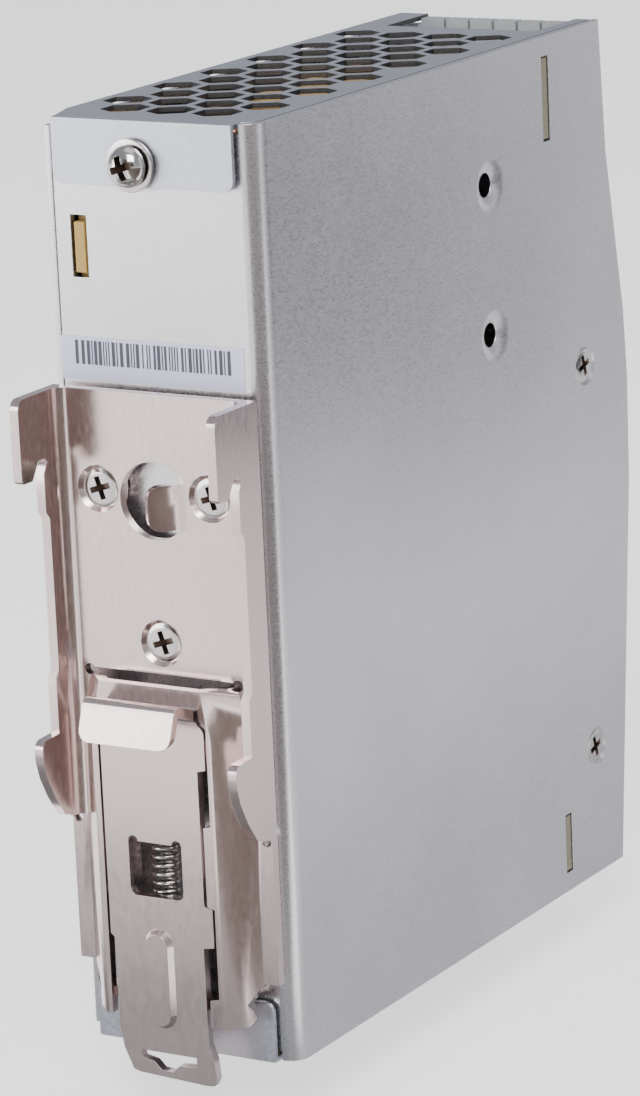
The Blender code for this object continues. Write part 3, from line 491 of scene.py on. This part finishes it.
def make_screws():
    flat_head = [(0.0, -0.02), (1.9, -0.03), (2.35, -0.08), (2.58, -0.18), (2.6, -0.3)]
    long_shank = [(1.45, -1.25), (1.45, -5.0), (0.0, -5.0)]
    short_shank = [(1.4, -1.25), (1.4, -3.5), (0.0, -3.5)]
    for place in ("left", "right", "lower"):
        screw("bracket_screw_" + place, (0, 1, 0), flat_head, long_shank, **FLAT_RECESS)
    for place in ("upper", "lower"):
        screw("side_screw_" + place, (-1, 0, 0), flat_head, short_shank, **FLAT_RECESS)
    angles = [math.radians(a) for a in range(0, 81, 8)]
    dome = [(DOME_RADIUS * math.sin(angle), -DOME_RISE + DOME_RISE * math.cos(angle))
            for angle in angles]
    dome.append((2.78, -1.95))
    dome_shank = [(1.45, -2.0), (1.45, -8.0), (0.0, -8.0)]
    screw("cover_screw", (0, 1, 0), dome, dome_shank, **DOME_RECESS)
    low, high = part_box("cover_washer")
    bm = bmesh.new()
    rim = [(1.85, 0.0), (1.85, 0.62), (3.35, 0.62), (3.46, 0.56), (3.5, 0.44), (3.5, 0.12), (3.4, 0.0)]
    turned(bm, rim, (0, 1, 0), Vector(((low.x + high.x) / 2, low.y, (low.z + high.z) / 2)), 48)
    finish_piece("fine_cover_washer", bm, "screw_steel", "case", ["cover_washer"])


# ------------------------------------------------------------------- spring

def lever_travel():
    return [joint for joint in frame["joints"] if joint["name"] == "lever_slide"][0]["range_m"][1]


def make_spring():
    """The lever's coil, of even pitch."""
    low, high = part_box("lever_spring")
    wire = SPRING_WIRE * MM
    radius = (high.x - low.x) / 2 - wire
    middle = (low + high) / 2
    turns, around, sides = SPRING_TURNS, 28, 10
    span = high.z - low.z - 2 * wire
    steps = turns * around
    rings = []
    bm = bmesh.new()
    for i in range(steps + 1):
        share = i / steps
        angle = math.tau * turns * share
        centre = Vector((middle.x + radius * math.cos(angle), middle.y + radius * math.sin(angle),
                         low.z + wire + span * share))
        out = Vector((math.cos(angle), math.sin(angle), 0.0))
        up = Vector((0.0, 0.0, 1.0))
        rings.append([bm.verts.new(centre + wire * (math.cos(a) * out + math.sin(a) * up))
                      for a in (math.tau * k / sides for k in range(sides))])
    for lower, upper in zip(rings, rings[1:]):
        for k in range(sides):
            bm.faces.new((lower[k - 1], lower[k], upper[k], upper[k - 1]))
    bm.faces.new(rings[0])
    bm.faces.new(rings[-1])
    coil = finish_piece("coil_spring", bm, "spring_steel", "case", ["lever_spring"],
                        weighted=False, sharp=60.0)
    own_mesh(coil)


# -------------------------------------------------------------------- label

def make_label():
    """A plain label with an invented bar pattern on the rear wall, just above the clip."""
    shell_low, shell_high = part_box("chassis_shell")
    clip_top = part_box("clip_bracket")[1].z
    wall = shell_high.y
    left, right = shell_low.x + LABEL_LEFT * MM, shell_high.x + LABEL_PAST * MM
    low, high = (clip_top + above * MM for above in LABEL_OVER_CLIP)
    bm = bmesh.new()
    box(bm, (left, wall, low), (right, wall + LABEL_THICK * MM, high))
    break_edges(bm, LABEL_EDGE)
    finish_piece("barcode_label", bm, "insulator", "case", look="label_paper")
    draw = random.Random(BAR_SEED)
    bar_low, bar_high = low + BARS_MARGIN[0] * MM, high - BARS_MARGIN[1] * MM
    back, front = (wall + face * MM for face in BAR_FACES)
    bm = bmesh.new()
    x = left + BARS_INSET[0] * MM
    while x < right - BARS_INSET[1] * MM:
        width = draw.choice(BAR_WIDTHS) * MM
        box(bm, (x, back, bar_low), (x + width, front, bar_high))
        x += width + draw.choice(BAR_SPACES) * MM
    finish_piece("barcode_bars", bm, "chip_case", "case", look="label_ink")


# ---------------------------------------------------------------- internals

def make_toroid(node, axis, wire):
    """A ring core with one layer of wire wound round it."""
    low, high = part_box(node)
    middle = (low + high) / 2
    size = high - low
    along = Vector(axis)
    depth = abs(size.dot(along))
    outer = max(size) / 2
    hole = CHOKE_HOLE * outer
    bm = bmesh.new()
    side = outer - hole
    turns = int(math.tau * (hole + wire) / (TURN_PITCH * wire))
    path_steps = turns * 14
    basis = Vector((0.0, 0.0, 1.0)).rotation_difference(along).to_matrix()
    half_r, half_h = side / 2 - wire, depth / 2 - wire
    mid_r = hole + side / 2
    points = []
    for i in range(path_steps):
        ring = math.tau * i / path_steps
        roll = math.tau * turns * i / path_steps
        cos, sin = math.cos(roll), math.sin(roll)
        fat = (abs(cos) ** 4 + abs(sin) ** 4) ** -0.25
        r = mid_r + half_r * cos * fat
        points.append(basis @ Vector((r * math.cos(ring), r * math.sin(ring), half_h * sin * fat)) + middle)
    sweep(bm, points, wire, 6)
    finish_piece("wound_" + node, bm, "copper", BODY_OF[node], [node], weighted=False, sharp=60.0)
    bm = bmesh.new()
    gap = wire * WINDING_GAP
    half = (half_h - gap) / MM
    inside, outside = (mid_r - half_r + gap) / MM, (mid_r + half_r - gap) / MM
    ring_face = [(inside, -half), (outside, -half), (outside, half), (inside, half)]
    turned(bm, ring_face, along, middle, 40)
    finish_piece("core_" + node, bm, "ferrite", BODY_OF[node])


def sweep(bm, points, radius, sides):
    """A round tube along the points of a loop, its two ends capped where they nearly meet."""
    rings = []
    count = len(points)
    normal = None
    for i, point in enumerate(points):
        way = (points[(i + 1) % count] - points[i - 1]).normalized()
        if normal is None:
            normal = way.orthogonal().normalized()
        normal = (normal - way * normal.dot(way)).normalized()
        across = way.cross(normal)
        rings.append([bm.verts.new(point + radius * (math.cos(a) * normal + math.sin(a) * across))
                      for a in (math.tau * k / sides for k in range(sides))])
    for lower, upper in zip(rings, rings[1:]):
        for k in range(sides):
            bm.faces.new((lower[k - 1], lower[k], upper[k], upper[k - 1]))
    bm.faces.new(rings[0])
    bm.faces.new(rings[-1])


def make_can(node):
    """An electrolytic can lying along X: a sleeve with a crimped groove and a plain metal end."""
    low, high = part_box(node)
    middle = (low + high) / 2
    radius = (high.z - low.z) / 2 / MM
    length = (high.x - low.x) / MM
    bm = bmesh.new()
    foot = Vector((high.x, middle.y, middle.z))
    waist = radius - CAN_GROOVE
    profile = [(0.0, 0.0), (radius - 0.5, 0.0), (radius, 0.5), (radius, length - 2.9),
               (waist, length - 2.5), (waist, length - 2.1), (radius, length - 1.7),
               (radius, length - 0.6), (radius - 0.6, length), (0.0, length)]
    turned(bm, profile, (-1, 0, 0), foot, 48)
    finish_piece("can_" + node, bm, "can_sleeve", BODY_OF[node], [node])
    bm = bmesh.new()
    inside, outside, rim = length - CAP_DEPTH, length + CAP_PROUD, radius - CAP_INSET
    cap = [(0.0, inside), (rim, inside), (rim, outside), (0.0, outside)]
    turned(bm, cap, (-1, 0, 0), foot, 48)
    finish_piece("cap_" + node, bm, "aluminium", BODY_OF[node])


def make_internals():
    make_toroid("line_choke", (1, 0, 0), CHOKE_WIRE["line_choke"] * MM)
    make_toroid("output_choke", (0, 0, 1), CHOKE_WIRE["output_choke"] * MM)
    for node in ("bulk_capacitor", "output_capacitor_1", "output_capacitor_2"):
        make_can(node)
    for node, width in INNER_EDGES.items():
        refined(node, width, segments=3)
    refined("terminal_board", BOARD_EDGE, look="board_edge")
    # the main board is darkened by painted shade, except its rear tab
    refined("main_board", BOARD_EDGE, look="painted_shade_board")
    # the insulating sheet is near-black, as painted shade
    refined("insulating_sheet", FOIL_EDGE, look="painted_shade_sheet")


# --------------------------------------------------------------- the object

def make_cover(node):
    """A vented cover; the punched holes' walls get a near-black metal, which is painted shade."""
    bm = node_bmesh(node)
    break_edges(bm, COVER_EDGE)
    bm.normal_update()
    # the vent holes' walls take the painted shade
    for face in bm.faces:
        if abs(face.normal.z) < 0.4 and face.calc_center_median().y < VENTS_START * MM:
            face.material_index = 1
    cover = finish_piece("fine_" + node, bm, SLOT_OF[node], BODY_OF[node], [node])
    cover.data.materials.append(MATERIALS["painted_shade_hole_wall"])


def make_case():
    refined("chassis_shell", SHEET_EDGE)
    refined("side_cover", SHEET_EDGE)
    make_cover("top_cover")
    make_cover("bottom_cover")
    for node, width in CASE_EDGES.items():
        refined(node, width)
    for node in frame["nodes"]:
        if node.startswith(("output_screw", "input_screw", "output_clamp", "input_clamp")):
            refined(node, TERMINAL_EDGE)


# ------------------------------------------------------------------- studio

def glow(name, colour):
    """A plain shining surface, only ever seen in reflections."""
    made, shader, _ = new_material(name)
    shader.inputs["Base Color"].default_value = (0.0, 0.0, 0.0, 1.0)
    shader.inputs["Emission Color"].default_value = (*colour, 1.0)
    shader.inputs["Emission Strength"].default_value = 1.0
    return made


def sheet(name, corners, look):
    """A four-cornered sheet of the studio."""
    mesh = bpy.data.meshes.new(name)
    mesh.from_pydata(corners, [], [(0, 1, 2, 3)])
    mesh.materials.append(look)
    made = bpy.data.objects.new(name, mesh)
    bpy.context.scene.collection.objects.link(made)
    return made


def reflected(name, colour, corners):
    """A shining sheet that shows only in glossy reflections."""
    card = sheet(name, corners, glow(name, colour))
    card.visible_camera = False
    card.visible_diffuse = False
    card.visible_shadow = False
    card.visible_transmission = False


def make_studio():
    """A white floor, a graded sky, four lamps, and sheets that show only in glossy reflections."""
    floor_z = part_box("release_lever")[0].z - lever_travel() - FLOOR_GAP * MM
    white = surface("floor", (0.88, 0.88, 0.885), 0.7, grain=40.0, spread=0.01, blotch=0.01,
                    bump_depth=0.0)
    shader = white.node_tree.nodes["Principled BSDF"]
    shader.inputs["Emission Color"].default_value = (1.0, 1.0, 1.0, 1.0)
    shader.inputs["Emission Strength"].default_value = FLOOR_GLOW
    ground = rectangle(-FLOOR_HALF, FLOOR_HALF, -FLOOR_HALF, FLOOR_HALF)
    sheet("floor", [(x, y, floor_z) for x, y in ground], white)
    for name, colour, layer, corners in FLOOR_CARDS:
        reflected(name, colour, [(x, y, layer * CARD_STEP + floor_z) for x, y in corners])
    colour, wall_y, (left, right), (low, high) = REAR_WALL
    upright = rectangle(left, right, low, high)
    reflected("rear_wall", colour, [(x, wall_y, z + floor_z) for x, z in upright])

    world = bpy.data.worlds.new("studio")
    world.use_nodes = True
    tree = world.node_tree
    place = tree.nodes.new("ShaderNodeTexCoord")
    split = tree.nodes.new("ShaderNodeSeparateXYZ")
    tree.links.new(place.outputs["Generated"], split.inputs["Vector"])
    sky = ramp(tree, split.outputs["Z"], SKY)
    tree.links.new(sky, tree.nodes["Background"].inputs["Color"])
    tree.nodes["Background"].inputs["Strength"].default_value = SKY_STRENGTH
    bpy.context.scene.world = world

    for name, place, size, power in LAMPS:
        light = bpy.data.lights.new(name, "AREA")
        light.shape = "SQUARE"
        light.size = size
        light.energy = power
        lamp = bpy.data.objects.new(name, light)
        lamp.location = place
        lamp.rotation_euler = (-Vector(place)).to_track_quat("-Z", "Y").to_euler()
        bpy.context.scene.collection.objects.link(lamp)


def make_camera():
    azimuth, elevation = math.radians(CAMERA_AZIMUTH), math.radians(CAMERA_ELEVATION)
    back = Vector((math.sin(azimuth) * math.cos(elevation), -math.cos(azimuth) * math.cos(elevation),
                   math.sin(elevation)))
    turn = back.to_track_quat("Z", "Y").to_matrix() @ Matrix.Rotation(math.radians(CAMERA_ROLL), 3, "Z")
    lens = bpy.data.cameras.new("camera")
    lens.lens = CAMERA_LENS
    lens.sensor_width = 36.0
    lens.shift_x, lens.shift_y = CAMERA_SHIFT
    lens.clip_start = 0.01
    camera = bpy.data.objects.new("camera", lens)
    camera.matrix_world = Matrix.Translation(CAMERA_PLACE) @ turn.to_4x4()
    bpy.context.scene.collection.objects.link(camera)
    bpy.context.scene.camera = camera


make_camera()
make_case()
make_screws()
make_spring()
make_label()
make_internals()
make_studio()
